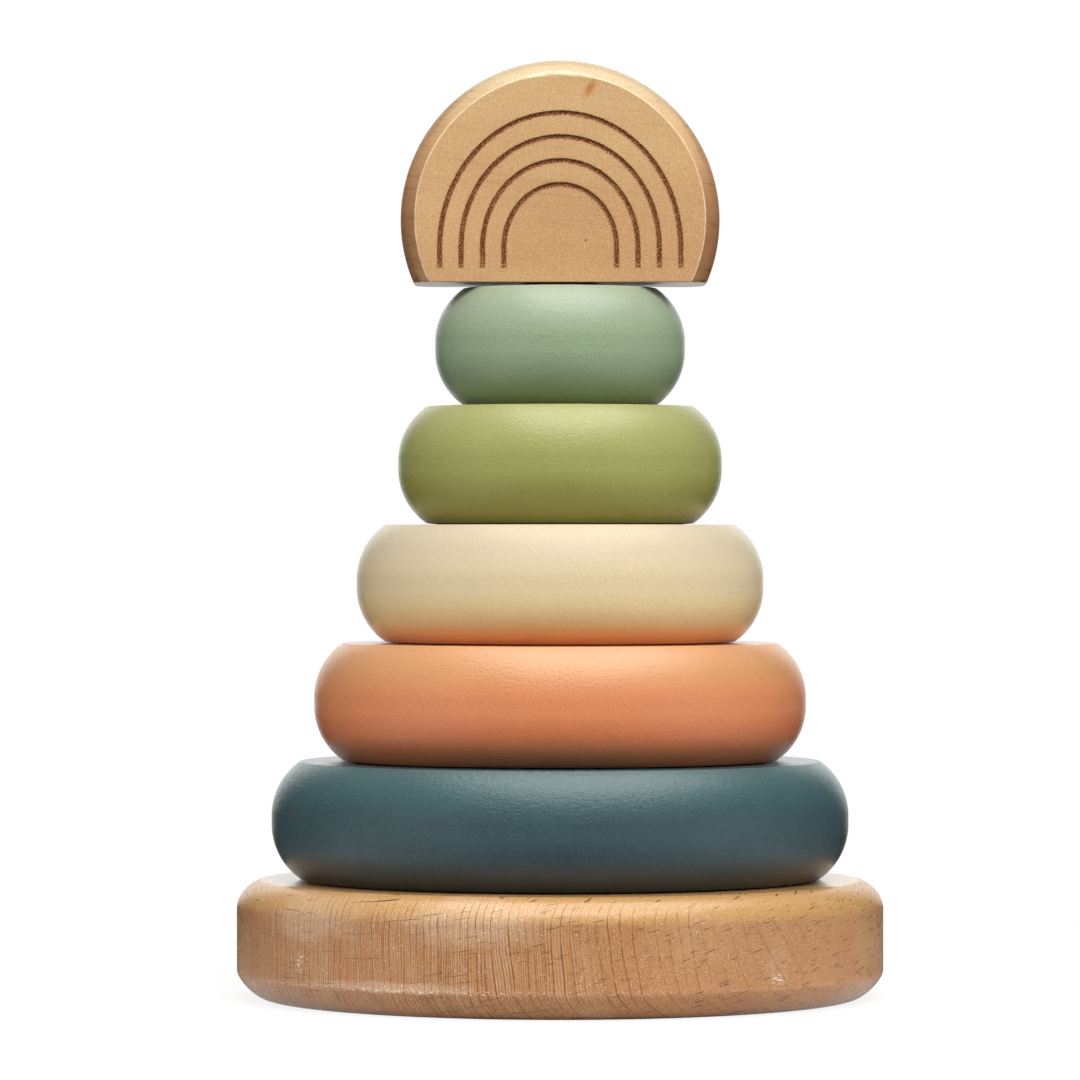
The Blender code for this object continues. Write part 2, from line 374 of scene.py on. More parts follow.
def turnRing(piece, shape):
    low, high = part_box(piece["node"])
    radius, middle = high.x, (low.z + high.z) / 2
    centre = radius - shape["arcRadius"]
    rise = middle - shape["band"] / 2 - low.z
    rim = centre + math.sqrt(shape["arcRadius"] ** 2 - rise ** 2)
    startFresh()
    bpy.ops.mesh.primitive_circle_add(vertices=shape["arcPoints"], radius=shape["arcRadius"],
                                      fill_type="NGON", location=(centre, 0, middle),
                                      rotation=(math.pi / 2, 0, 0))
    ring = takePrimitive(piece["name"])
    openEdit(ring)
    pick("verts", lambda vert: vert.co.z > middle + 1e-6)
    bpy.ops.transform.translate(value=(0, 0, shape["band"] / 2))
    pick("verts", lambda vert: vert.co.z < middle - 1e-6)
    bpy.ops.transform.translate(value=(0, 0, -shape["band"] / 2))
    sliceOff((0, 0, high.z), (0, 0, 1), clear_outer=True)
    sliceOff((0, 0, low.z), (0, 0, 1), clear_inner=True)
    sliceOff((centre, 0, 0), (1, 0, 0), clear_inner=True)
    pick("verts", lambda vert: near(vert.co.x, centre))
    bpy.ops.transform.translate(value=(shape["bore"] - centre, 0, 0))

    # the underside is halved, and all of it inside the relief comes down
    pick("edges", lambda edge: flatLoop(edge, 2, low.z))
    bpy.ops.mesh.subdivide()
    halfway = (shape["bore"] + rim) / 2
    pick("verts", lambda vert: near(vert.co.x, halfway) and near(vert.co.z, low.z))
    bpy.ops.transform.translate(value=(rim - shape["relief"] - halfway, 0, 0))
    pick("verts", lambda vert: vert.co.x < rim - 1e-5 and near(vert.co.z, low.z))
    bpy.ops.transform.translate(value=(0, 0, -shape["settle"]))

    faces = (low.z, high.z)
    pick("verts", lambda vert: vert.co.x > centre and any(near(vert.co.z, level) for level in faces))
    bevelPicked(shape["edgeEase"], shape["easeSteps"], "VERTICES")
    pick("verts", lambda vert: near(vert.co.x, shape["bore"]))
    bevelPicked(shape["boreEase"], shape["easeSteps"], "VERTICES")
    bpy.ops.mesh.select_all(action="SELECT")
    bpy.ops.mesh.delete(type="ONLY_FACE")
    bpy.ops.mesh.select_all(action="SELECT")
    bpy.ops.mesh.spin(steps=shape["turns"], angle=math.tau, center=(0, 0, 0), axis=(0, 0, 1))
    tidySkin()
    closeEdit()
    smoothShade(ring, shape["smoothAngle"])
    placeOn(ring, piece["body"], piece["node"], satinPaint(piece, paintCoat))


for ringPiece in ringPieces:
    turnRing(ringPiece, ringShape)
    print("ring turned:", ringPiece["name"])


# base: a thick disc, chamfered above and below, with a socket for the peg

baseBoard = {
    "topChamfer": 0.0060,
    "topCurve": 0.46,                   # bevel profile: 0.25 is a flat chamfer, 0.5 a full round
    "bottomChamfer": 0.0057,
    "bottomCurve": 0.37,
    "chamferSteps": 12,
    "socket": 0.0078,
    "socketDepth": 0.0180,
    "sides": 256,
    "smoothAngle": 35,
    "grainDepth": 0.00004,
    "light": (191, 146, 101),
    "brown": (175, 127, 84),
    "orange": (172, 116, 69),
    "honeyHighlight": (204, 159, 99),            # painted highlight on the upper edge and the top, which face up, and on that edge's rounding, most of all to the right, a darker tone that takes some of it back
    "amber": (177, 133, 75),            # and on that edge's rounding, most of all to the right
    "amberShare": (0.25, 0.65),         # at the left and at the right
    "ringLine": (104, 58, 27),
    "rayLine": (82, 42, 18),
    "haze": (199, 171, 141),
    "scuff": (240, 228, 212),
    "across": (0.84, -0.545, 0.0),      # from growth ring to growth ring
    "fibre": (0.545, 0.84, 0.25),
    "upward": (-0.195, -0.172, 1.0),    # along the growth rings
    "lean": (0.0, 0.22),                # how far the growth rings lean, at the left and at the right
    # the rest is in millimetres
    "leanSides": (-50.0, 50.0),
    "amberSides": (-30.0, 30.0),
    "warmSides": (-20.0, 20.0),         # the colour turns a darker orange to the right and low down
    "warmHeights": (5.0, 14.0),
    "lineFade": (0.0, 30.0),            # the growth rings grow paler to the right between these places,
    "hairFade": (-4.0, 18.0),           # the fine hair between these,
    "chipFade": (-20.0, 10.0),          # and the chips along the lower edge between these
    "ringGap": 1.65,
    "hairGap": 0.58,
    "rayRoom": (44.0, 0.60),            # room that each ray takes across the growth rings and upward
    "rayHeights": (12.0, 7.0, 5.6),     # and along the fibre, for three sets of rays
    "rayShift": (3.4, 7.7, 5.3),        # from one set to the next, in rays
    "filmRadii": (52.0, 62.0),          # the film sets in between these
    # oval marks round the side: centre along it, height, half width and half height
    "films": [(-19.0, 20.0, 15.0, 5.5), (-60.0, 19.5, 13.0, 5.0), (-38.0, 6.4, 20.0, 1.2)],
    "patches": [(-41.0, 9.0, 9.0, 7.0), (64.0, 9.0, 16.0, 10.0)],
    "scuffs": [(-62.7, 10.5, 1.6, 3.4), (49.5, 7.8, 3.0, 1.6), (-34.0, 5.7, 22.0, 0.45)],
}


def beechPlaces(sh, settings, radius):
    # where a point of the base lies, in millimetres, and which way it faces
    place = sh.millimetres()
    x, y, z = sh.axes(place)
    across = sh.vector("DOT_PRODUCT", place, settings["across"])
    fibre = sh.vector("DOT_PRODUCT", place, settings["fibre"])
    upward = sh.vector("DOT_PRODUCT", place, settings["upward"])
    wood = sh.join(across, fibre, upward)

    # the growth rings wander a little, and lean to the right
    wander = sh.noise(sh.map(wood, scale=(1, 0.2, 0.35)), 0.07, 2.0)
    lean = sh.ramp(x, *settings["lean"], *settings["leanSides"], smooth=False)
    growth = sh.math("ADD", sh.math("ADD", across, sh.product(wander, 5.0)), sh.product(lean, z))

    arc = sh.product(sh.math("ARCTAN2", x, sh.product(y, -1.0)), radius * 1000)
    rim = sh.join(arc, 0.0, z)          # the side, rolled out flat
    square = sh.facing(settings["fibre"])
    return {
        "place": place,
        "x": x,
        "z": z,
        "reach": sh.vector("LENGTH", sh.join(x, y, 0.0)),
        "wood": wood,
        "growth": growth,
        "strands": sh.join(growth, sh.product(fibre, 0.05), sh.product(upward, 0.05)),
        "arc": arc,
        "rim": rim,
        "ripple": sh.ramp(sh.noise(rim, 0.16, 3.0), -0.5, 0.5, smooth=False),
        "square": square,
        "endGrain": sh.ramp(square, 0.0, 1.0, 0.40, 0.95),
        "flat": sh.ramp(sh.facing((0, 0, 1)), 0.0, 1.0, 0.96, 1.0),
    }


def growthLines(sh, at, settings):
    # thin dark lines of uneven weight, clearest on the end grain
    count = sh.math("DIVIDE", at["growth"], settings["ringGap"])
    weight = sh.add("ShaderNodeTexWhiteNoise", noise_dimensions="1D")
    sh.feed(weight.inputs["W"], sh.math("FLOOR", count))
    broken = sh.noise(sh.map(at["wood"], scale=(0.3, 0.1, 0.5)), 0.9, 2.0)
    return sh.product(sh.ramp(sh.math("FRACT", count), 0.0, 1.0, 0.86, 0.95),
                      sh.ramp(weight.outputs["Value"], 0.45, 1.0, 0.1, 0.8),
                      sh.ramp(broken, 0.3, 1.0, 0.35, 0.55),
                      sh.ramp(at["square"], 0.0, 1.0, 0.05, 0.45),
                      sh.ramp(at["x"], 1.0, 0.55, *settings["lineFade"]))


def rayBlades(sh, at, settings):
    # long thin blades, seen as lines on the end grain and as dashes on the sides
    length, width = settings["rayRoom"]
    rays = None
    for index, tall in enumerate(settings["rayHeights"]):
        shift = [step * index for step in settings["rayShift"]]
        room = sh.map(at["wood"], scale=(1 / length, 1 / tall, 1 / width), shift=shift)
        rayField, rayPick = sh.cells(room, 1.0, 0.85)
        blade = sh.product(sh.ramp(rayField, 1.0, 0.0, 0.10, 0.17),
                           sh.ramp(sh.axes(rayPick)[0], 0.0, 1.0, 0.0, 0.55))
        rays = blade if rays is None else sh.math("MAXIMUM", rays, blade)
    return sh.product(rays, sh.ramp(at["endGrain"], 1.0, 0.70), sh.ramp(at["flat"], 1.0, 0.55))


def fineHair(sh, at, settings):
    # hair along the growth rings, some of it evenly spaced: its pale part, its dark part and its height
    strands = at["strands"]
    hair = sh.noise(strands, 4.2, 1.0, 0.6)
    drift = sh.product(sh.noise(strands, 0.8, 2.0), 1.4)
    tooth = sh.math("FRACT", sh.math("ADD", sh.math("DIVIDE", at["growth"], settings["hairGap"]), drift))
    tooth = sh.math("ABSOLUTE", sh.math("SUBTRACT", tooth, 0.5))
    shown = sh.product(sh.ramp(sh.noise(strands, 0.55, 2.0), 0.25, 1.0, 0.35, 0.62),
                       sh.ramp(at["endGrain"], 0.10, 1.0, 0.50, 1.0),
                       sh.ramp(at["x"], 1.0, 0.45, *settings["hairFade"]))
    pale = sh.math("ADD", sh.ramp(hair, 0.30, 0.0, 0.30, 0.42), sh.ramp(tooth, 0.0, 0.60, 0.34, 0.48))
    dark = sh.math("ADD", sh.ramp(hair, 0.0, 0.30, 0.57, 0.67), sh.ramp(tooth, 0.55, 0.0, 0.05, 0.20))
    return [sh.product(part, shown) for part in (pale, dark, hair)]


def softSpot(sh, at, spot):
    return sh.ramp(sh.spotDistance(at["arc"], at["z"], spot, at["ripple"]), 0.45, 0.0, 0.45, 1.25)


def soundBeech(sh, at, settings, top):
    # ruddier on the end grain, low down and in patches, with a painted highlight on the upper edge and top,
    # where they face up
    x, z = at["x"], at["z"]
    tone = sh.noise(sh.map(at["wood"], scale=(1, 0.2, 0.4)), 0.08, 3.0, 0.55)
    colour = sh.tint(sh.ramp(tone, 0.0, 1.0, 0.32, 0.66), srgb(*settings["brown"]), settings["light"])
    streak = sh.noise(at["strands"], 0.4, 2.0, 0.5)
    ruddy = sh.product(at["endGrain"], sh.ramp(streak, 0.95, 0.35, 0.35, 0.65))
    colour = sh.tint(ruddy, colour, settings["orange"])
    warm = sh.product(sh.ramp(z, 0.40, 0.0, *settings["warmHeights"]),
                      sh.ramp(x, 0.0, 1.0, *settings["warmSides"]))
    colour = sh.tint(warm, colour, settings["orange"])
    # painted highlight where the upper edge and top face up, partly taken back on the edge's rounding
    upper = (top - settings["topChamfer"]) * 1000
    colour = sh.tint(sh.ramp(z, 0.0, 0.75, upper - 0.5, upper + 3.0), colour, settings["honeyHighlight"])
    amber = sh.product(sh.ramp(z, 0.0, 1.0, upper, upper + 2.5), sh.ramp(at["flat"], 1.0, 0.0),
                       sh.ramp(x, *settings["amberShare"], *settings["amberSides"]))
    colour = sh.tint(amber, colour, settings["amber"])
    for spot in settings["patches"]:
        colour = sh.tint(softSpot(sh, at, spot), colour, settings["orange"])
    return colour


def lacquerFilm(sh, at, settings):
    # a dull film in soft patches, towards the rim
    film = sh.ramp(sh.noise(at["place"], 0.06, 2.0, 0.4), 0.0, 0.20, 0.55, 0.75)
    for spot in settings["films"]:
        film = sh.math("MAXIMUM", film, softSpot(sh, at, spot))
    return sh.product(film, sh.ramp(at["reach"], 0.0, 1.0, *settings["filmRadii"]))


def paleScuffs(sh, at, settings):
    # chips along the lower edge and in clusters
    offEdge = sh.math("ABSOLUTE", sh.math("SUBTRACT", at["z"], settings["bottomChamfer"] * 1000))
    chips = sh.product(sh.ramp(offEdge, 0.8, 0.0, 0.1, 0.9),
                       sh.ramp(at["x"], 0.45, 0.12, *settings["chipFade"]))
    for spot in settings["scuffs"]:
        offSpot = sh.spotDistance(at["arc"], at["z"], spot, at["ripple"])
        chips = sh.math("MAXIMUM", chips, sh.ramp(offSpot, 0.75, 0.0, 0.2, 1.1))
    crumbs = sh.noise(sh.map(at["rim"], scale=(0.6, 1, 1.4)), 1.7, 3.0, 0.7)
    return sh.product(chips, sh.ramp(crumbs, 0.0, 1.0, 0.51, 0.60))


def beechWood(settings, radius, top):
    sh = newFinish("base_beech")
    at = beechPlaces(sh, settings, radius)
    paleHair, darkHair, hairHeight = fineHair(sh, at, settings)
    lines = growthLines(sh, at, settings)
    rays = rayBlades(sh, at, settings)
    film = lacquerFilm(sh, at, settings)
    grit = sh.noise(at["place"], 4.2, 1.0, 0.5)
    pores = sh.noise(sh.map(at["wood"], scale=(1, 0.15, 1)), 3.2, 2.0, 0.6)
    sparkle = sh.noise(sh.map(at["place"], scale=(1, 1, 0.7)), 3.0, 2.0, 0.6)
    glitter = sh.product(sh.ramp(sparkle, 0.0, 1.0, 0.60, 0.72), sh.math("ADD", film, 0.35))

    # one layer over the other
    colour = soundBeech(sh, at, settings, top)
    layers = [
        (paleHair, "haze"),
        (darkHair, "ringLine"),
        (sh.ramp(pores, 0.0, 0.30, 0.53, 0.70), "ringLine"),
        (sh.ramp(grit, 0.0, 0.42, 0.52, 0.72), "ringLine"),
        (sh.ramp(grit, 0.40, 0.0, 0.28, 0.44), "haze"),
        (film, "haze"),
        (lines, "ringLine"),
        (rays, "rayLine"),
        (glitter, "scuff"),
        (paleScuffs(sh, at, settings), "scuff"),
    ]
    for amount, tone in layers:
        colour = sh.tint(amount, colour, settings[tone])

    # the flat top is sanded smoother
    height = sh.math("ADD", hairHeight, sh.product(sparkle, 0.8))
    height = sh.math("SUBTRACT", height, sh.product(rays, 0.6))
    height = sh.math("SUBTRACT", height, sh.product(lines, 0.5))
    height = sh.product(height, sh.math("SUBTRACT", 1.0, sh.product(at["flat"], 0.9)))
    rough = sh.math("ADD", sh.product(film, 0.2), sh.ramp(pores, 0.22, 0.30))
    rough = sh.math("SUBTRACT", rough, sh.product(at["flat"], 0.12))
    return sh.finish(colour, rough, sh.bump(height, settings["grainDepth"]))


def shapeBase(settings):
    low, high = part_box("base_disc")
    radius, depth = high.x, high.z - low.z
    startFresh()
    bpy.ops.mesh.primitive_cylinder_add(vertices=settings["sides"], radius=radius, depth=depth,
                                        location=(0, 0, (low.z + high.z) / 2))
    base = takePrimitive("baseBoard")
    openEdit(base)
    pick("edges", lambda edge: flatLoop(edge, 2, high.z))
    bevelPicked(settings["topChamfer"], settings["chamferSteps"], curve=settings["topCurve"])
    pick("edges", lambda edge: flatLoop(edge, 2, low.z))
    bevelPicked(settings["bottomChamfer"], settings["chamferSteps"], curve=settings["bottomCurve"])
    pick("faces", lambda face: near(face.calc_center_median().z, high.z) and face.normal.z > 0.99)
    bpy.ops.mesh.inset(thickness=radius - settings["topChamfer"] - settings["socket"])
    bpy.ops.mesh.extrude_region_move(TRANSFORM_OT_translate={"value": (0, 0, -settings["socketDepth"])})
    tidySkin()
    closeEdit()
    smoothShade(base, settings["smoothAngle"])
    placeOn(base, "stand", "base_disc", beechWood(settings, radius, high.z))
    print("base shaped")


shapeBase(baseBoard)


# peg: a dowel with a rounded tip

pegDowel = {
    "tipRound": 0.0040,
    "tipSteps": 8,
    "footEase": 0.0010,
    "sides": 96,
    "smoothAngle": 30,
    "grainDepth": 0.0001,
    "light": (222, 186, 138),
    "dark": (196, 152, 104),
    "fleck": (150, 104, 64),
}


def dowelWood(settings):
    sh = newFinish("peg_wood")
    place = sh.millimetres()
    streak = sh.noise(sh.map(place, scale=(1, 1, 0.05)), 0.9, 4.0, 0.6, 0.4)
    fibre = sh.noise(sh.map(place, scale=(1, 1, 0.12)), 4.0, 3.0, 0.6)
    colour = sh.tint(sh.ramp(streak, 0.0, 1.0, 0.3, 0.7), srgb(*settings["dark"]), settings["light"])
    colour = sh.tint(sh.ramp(fibre, 0.0, 0.3, 0.55, 0.75), colour, settings["fleck"])
    rough = sh.ramp(streak, 0.5, 0.64)
    return sh.finish(colour, rough, sh.bump(fibre, settings["grainDepth"], 0.2))


def shapePeg(settings):
    low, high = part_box("peg")
    startFresh()
    bpy.ops.mesh.primitive_cylinder_add(vertices=settings["sides"], radius=high.x, depth=high.z - low.z,
                                        location=(0, 0, (low.z + high.z) / 2))
    peg = takePrimitive("pegDowel")
    openEdit(peg)
    pick("edges", lambda edge: flatLoop(edge, 2, high.z))
    bevelPicked(settings["tipRound"], settings["tipSteps"])
    pick("edges", lambda edge: flatLoop(edge, 2, low.z))
    bevelPicked(settings["footEase"])
    tidySkin()
    closeEdit()
    smoothShade(peg, settings["smoothAngle"])
    placeOn(peg, "stand", "peg", dowelWood(settings))
    print("peg shaped")


shapePeg(pegDowel)


# topper: a chamfered disc cut flat below, bored for the peg and engraved with arches

topperBlock = {
    "chamfer": 0.0032,
    "edgeRound": 0.0022,
    "roundSteps": 5,
    "innerEase": 0.00035,
    "footEase": 0.0003,
    "easeSteps": 2,
    "footLift": 0.0002,                 # the underside is cut this much higher, clear of the ring below
    "bore": 0.0083,
    "boreDepth": 0.0200,
    "boreSides": 64,
    "sides": 256,
    "smoothAngle": 30,
    "grainDepth": 0.00004,
    "fibre": (0.9925, 0.0, -0.122),
    "grainTilt": -7.0,                  # degrees
    "pale": (210, 174, 124),
    "tan": (199, 159, 110),
    "rosy": (194, 147, 102),
    "fleck": (168, 122, 78),
    "endGrain": (146, 100, 66),
    "endHeights": (10.0, 28.0),         # millimetres above the underside, where the end grain grows paler
    "crown": (0.80, 0.94, 1.08, 1.0),   # how the wood's colour shifts where it faces up
    "edge": (246, 226, 194),
    # the pale edge band: rubbed wear along the front edge, widened at the top into a painted highlight
    "rubAndHighlightWidth": (0.97, 0.22),          # millimetres, at the top and at the sides
    "wornReach": (2.0, 10.0),           # and how far from the middle it narrows
    "knot": (176, 98, 46),
    "knotPlace": (6.4, 195.8),          # painted sheen: how the colour shifts where it faces up
    "knotSize": (2.7, 1.0),
    "knotWay": (0.52, 0.85),            # along its length
    "burnt": (92, 48, 20),
    "toast": (184, 124, 76),
}

arches = {
    "count": 4,
    "halfWidth": 0.0259,
    "widthStep": 0.0046,
    "rise": 0.02895,
    "riseStep": 0.00513,
    "spring": 0.0076,       # above the underside
    "foot": 0.0038,         # above the underside
    "grooveRadius": 0.00062,
    "grooveLift": 0.00020,
    "grooveSteps": 3,
    "points": 96,
    "legSteps": 3,
    "capSteps": 5,
}


def archSize(index, lines):
    # half the width, and the rise above the spring line
    return lines["halfWidth"] - index * lines["widthStep"], lines["rise"] - index * lines["riseStep"]


def archDistance(sh, x, z, underside, lines):
    # millimetres to the nearest engraved line
    side = sh.math("ABSOLUTE", x)
    climb = sh.math("MAXIMUM", sh.math("SUBTRACT", z, (underside + lines["spring"]) * 1000), 0.0)
    nearest = None
    for index in range(lines["count"]):
        wide, rise = (half * 1000 for half in archSize(index, lines))
        shrunk = sh.join(sh.math("DIVIDE", side, wide), sh.math("DIVIDE", climb, rise), 0.0)
        slope = sh.vector("LENGTH", sh.vector("DIVIDE", shrunk, (wide, rise, 1.0)))
        size = sh.vector("LENGTH", shrunk)
        gap = sh.product(sh.math("ABSOLUTE", sh.math("SUBTRACT", size, 1.0)), size)
        gap = sh.math("DIVIDE", gap, sh.math("MAXIMUM", slope, 0.001))
        nearest = gap if nearest is None else sh.math("MINIMUM", nearest, gap)
    return sh.math("MAXIMUM", nearest, sh.math("SUBTRACT", (underside + lines["foot"]) * 1000, z))


def knotSpot(sh, place, x, z, settings):
    # a small knot near the top, with a wavy rim
    knotX, knotZ = settings["knotPlace"]
    wayX, wayZ = settings["knotWay"]
    length, width = settings["knotSize"]
    aside, above = sh.math("SUBTRACT", x, knotX), sh.math("SUBTRACT", z, knotZ)
    along = sh.math("ADD", sh.product(aside, wayX), sh.product(above, wayZ))
    athwart = sh.math("SUBTRACT", sh.product(aside, wayZ), sh.product(above, wayX))
    oval = sh.join(sh.math("DIVIDE", along, length), sh.math("DIVIDE", athwart, width), 0.0)
    ripple = sh.ramp(sh.noise(place, 1.4, 3.0), -0.5, 0.5, smooth=False)
    return sh.ramp(sh.math("ADD", sh.vector("LENGTH", oval), ripple), 0.75, 0.0, 0.1, 1.25)


def rubbedEdgeAndHighlight(sh, place, x, z, radius, top, settings):
    # the crisp edge of the front chamfer is rubbed pale, most of all at the top, where the wider pale band is
    # a painted highlight
    reach = sh.vector("LENGTH", sh.join(x, 0.0, sh.math("SUBTRACT", z, (top - radius) * 1000)))
    offEdge = sh.math("ABSOLUTE", sh.math("SUBTRACT", reach, (radius - settings["chamfer"]) * 1000))
    widest, narrowest = settings["rubAndHighlightWidth"]
    extra = sh.ramp(sh.math("ABSOLUTE", x), widest - narrowest, 0.0, *settings["wornReach"])
    worn = sh.math("DIVIDE", offEdge, sh.math("ADD", narrowest, extra))
    return sh.product(sh.ramp(worn, 0.55, 0.0, 0.15, 1.0),
                      sh.ramp(sh.noise(place, 0.5, 3.0), 0.35, 1.0, 0.35, 0.6))


def topperWood(settings, lines):
    low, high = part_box("rainbow_topper")
    bottom, top, face = low.z * 1000, high.z * 1000, low.y * 1000
    sh = newFinish("topper_wood")
    place = sh.millimetres()
    x, y, z = sh.axes(place)
    tilted = sh.map(place, turn=(0, math.radians(settings["grainTilt"]), 0))
    tone = sh.noise(sh.map(tilted, scale=(0.35, 1, 1)), 0.05, 3.0, 0.55)
    bands = sh.noise(sh.map(tilted, scale=(0.03, 0.5, 1)), 0.8, 4.0, 0.65, 0.4)
    silk = sh.noise(sh.map(tilted, scale=(0.8, 1, 1)), 4.6, 1.0, 0.5)
    speckField, speckPick = sh.cells(place, 0.16)
    specks = sh.product(sh.ramp(speckField, 1.0, 0.0, 0.03, 0.06),
                        sh.ramp(sh.axes(speckPick)[0], 0.0, 1.0, 0.72, 0.76))
    colour = sh.tint(sh.ramp(tone, 0.0, 1.0, 0.30, 0.68), srgb(*settings["tan"]), settings["pale"])
    lower = sh.math("ADD", sh.ramp(z, 0.75, 0.0, bottom, top - 8.0), sh.ramp(tone, 0.2, -0.2))
    colour = sh.tint(lower, colour, settings["rosy"])
    colour = sh.tint(sh.ramp(bands, 0.0, 0.30, 0.57, 0.74), colour, settings["fleck"])
    colour = sh.tint(sh.ramp(silk, 0.0, 0.42, 0.50, 0.72), colour, settings["fleck"])
    colour = sh.tint(sh.ramp(silk, 0.34, 0.0, 0.28, 0.48), colour, settings["edge"])
    colour = sh.tint(sh.product(specks, 0.7), colour, settings["burnt"])

    # painted sheen: the colour is greyer where it faces up, under the overhead light
    crown = sh.ramp(sh.facing((0, 0, 1)), 0.0, 1.0, 0.32, 0.72)
    colour = sh.vector("MULTIPLY", colour, sh.blend(crown, (1, 1, 1, 1), settings["crown"]))

    # darker end grain at both sides, with a few growth lines crossing it
    paler = [bottom + height for height in settings["endHeights"]]
    ends = sh.product(sh.ramp(sh.facing(settings["fibre"]), 0.0, 1.0, 0.48, 0.74),
                      sh.ramp(z, 1.0, 0.70, *paler))
    layers = sh.noise(sh.map(tilted, scale=(0.02, 0.1, 1)), 0.5, 2.0, 0.7)
    growth = sh.ramp(sh.math("ABSOLUTE", sh.math("SUBTRACT", layers, 0.5)), 0.45, 0.0, 0.0, 0.03)
    colour = sh.tint(sh.product(ends, 0.85), colour, settings["endGrain"])
    veins = sh.product(growth, sh.ramp(sh.noise(place, 0.11, 2.0), 0.0, 0.55, 0.42, 0.62))
    colour = sh.tint(veins, colour, settings["fleck"])
    colour = sh.tint(sh.product(ends, growth), colour, settings["burnt"])

    colour = sh.tint(knotSpot(sh, place, x, z, settings), colour, settings["knot"])
    front = sh.ramp(y, 1.0, 0.0, face + 0.9, face + 1.2)
    # rubbed wear on the front edge, with a painted highlight at its top
    rubbedAndHighlight = rubbedEdgeAndHighlight(sh, place, x, z, high.x, high.z, settings)
    colour = sh.tint(sh.product(rubbedAndHighlight, front), colour, settings["edge"])

    # the engraving is burnt, with ragged edges
    soot = sh.noise(place, 3.4, 2.0, 0.7)
    ragged = sh.math("ADD", archDistance(sh, x, z, low.z, lines), sh.ramp(soot, -0.85, 0.85, smooth=False))
    char = sh.product(sh.ramp(ragged, 1.0, 0.0, 0.36, 0.54), front)
    toasted = sh.product(sh.ramp(ragged, 0.6, 0.0, 0.42, 0.85), front)
    colour = sh.tint(toasted, colour, settings["toast"])
    burnt = sh.tint(sh.ramp(soot, 0.0, 1.0, 0.44, 0.64), srgb(*settings["burnt"]), settings["toast"])
    colour = sh.blend(char, colour, burnt)

    height = sh.math("SUBTRACT", silk, sh.product(char, soot, 3.0))
    rough = sh.math("ADD", sh.ramp(tone, 0.26, 0.36), sh.product(char, 0.35))
    return sh.finish(colour, rough, sh.bump(height, settings["grainDepth"]))


def archCutter(index, lines, underside, face):
    wide, rise = archSize(index, lines)
    radius = lines["grooveRadius"]
    spring, foot = underside + lines["spring"], underside + lines["foot"]
    startFresh()
    bpy.ops.mesh.primitive_circle_add(vertices=lines["points"], radius=wide, fill_type="NOTHING",
                                      location=(0, face - lines["grooveLift"], 0),
                                      rotation=(math.pi / 2, 0, 0))
    arch = takePrimitive("archCutter")
    openEdit(arch)
    pick("verts", lambda vert: vert.co.z < -1e-6)
    bpy.ops.mesh.delete(type="VERT")
    bpy.ops.mesh.select_all(action="SELECT")
    bpy.ops.transform.resize(value=(1, 1, rise / wide), center_override=(0, 0, 0))
    bpy.ops.transform.translate(value=(0, 0, spring))

    # straight legs, then closer points where the foot is rounded
    leg = (spring - foot - radius) / lines["legSteps"]
    stops = [spring - leg * (step + 1) for step in range(lines["legSteps"])]
    quarter = math.pi / 2 / lines["capSteps"]
    stops += [foot + radius * (1 - math.sin(quarter * turn)) for turn in range(1, lines["capSteps"] + 1)]
    last = spring
    for stop in stops:
        pick("verts", lambda vert: near(vert.co.z, last, 1e-6) and near(abs(vert.co.x), wide, 1e-6))
        bpy.ops.mesh.extrude_region_move(TRANSFORM_OT_translate={"value": (0, 0, stop - last)})
        last = stop
    closeEdit()

    # a round rod along the line, narrowing at its feet
    bpy.ops.object.convert(target="CURVE")
    arch = bpy.context.active_object
    arch.data.dimensions = "3D"
    arch.data.bevel_depth = radius
    arch.data.bevel_resolution = lines["grooveSteps"]
    arch.data.use_fill_caps = True
    for point in arch.data.splines[0].points:
        drop = (foot + radius - point.co.z) / radius
        point.radius = math.sqrt(max(0.01, 1 - max(0.0, drop) ** 2))
    bpy.ops.object.convert(target="MESH")
    arch = bpy.context.active_object
    openEdit(arch)
    tidySkin()
    closeEdit()
    return arch


def shapeTopper(settings, lines):
    low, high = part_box("rainbow_topper")
    radius = high.x
    faces = (low.y, high.y)
    startFresh()
    bpy.ops.mesh.primitive_cylinder_add(vertices=settings["sides"], radius=radius, depth=high.y - low.y,
                                        location=(0, 0, high.z - radius), rotation=(math.pi / 2, 0, 0))
    topper = takePrimitive("archTopper")
    openEdit(topper)
    pick("edges", lambda edge: any(flatLoop(edge, 1, level) for level in faces))
    bevelPicked(settings["chamfer"])
    side = (low.y + settings["chamfer"], high.y - settings["chamfer"])
    pick("edges", lambda edge: any(flatLoop(edge, 1, level) for level in side))
    bevelPicked(settings["edgeRound"], settings["roundSteps"])
    pick("edges", lambda edge: any(flatLoop(edge, 1, level) for level in faces))
    bevelPicked(settings["innerEase"], settings["easeSteps"])
    foot = low.z + settings["footLift"]
    sliceOff((0, 0, foot), (0, 0, 1), clear_inner=True, use_fill=True)
    pick("edges", lambda edge: flatLoop(edge, 2, foot))
    bevelPicked(settings["footEase"], settings["easeSteps"])
    tidySkin()
    closeEdit()

    startFresh()
    bpy.ops.mesh.primitive_cylinder_add(vertices=settings["boreSides"], radius=settings["bore"],
                                        depth=2 * settings["boreDepth"], location=(0, 0, low.z))
    carve(topper, takePrimitive("boreCutter"))
    for index in range(lines["count"]):
        carve(topper, archCutter(index, lines, low.z, low.y))
    openEdit(topper)
    tidySkin()
    closeEdit()
    smoothShade(topper, settings["smoothAngle"])
    placeOn(topper, "topper", "rainbow_topper", topperWood(settings, lines))
    print("topper shaped:", len(topper.data.polygons), "faces")


shapeTopper(topperBlock, arches)


# camera: level with the middle of the tower, a long lens a little to the left of the peg

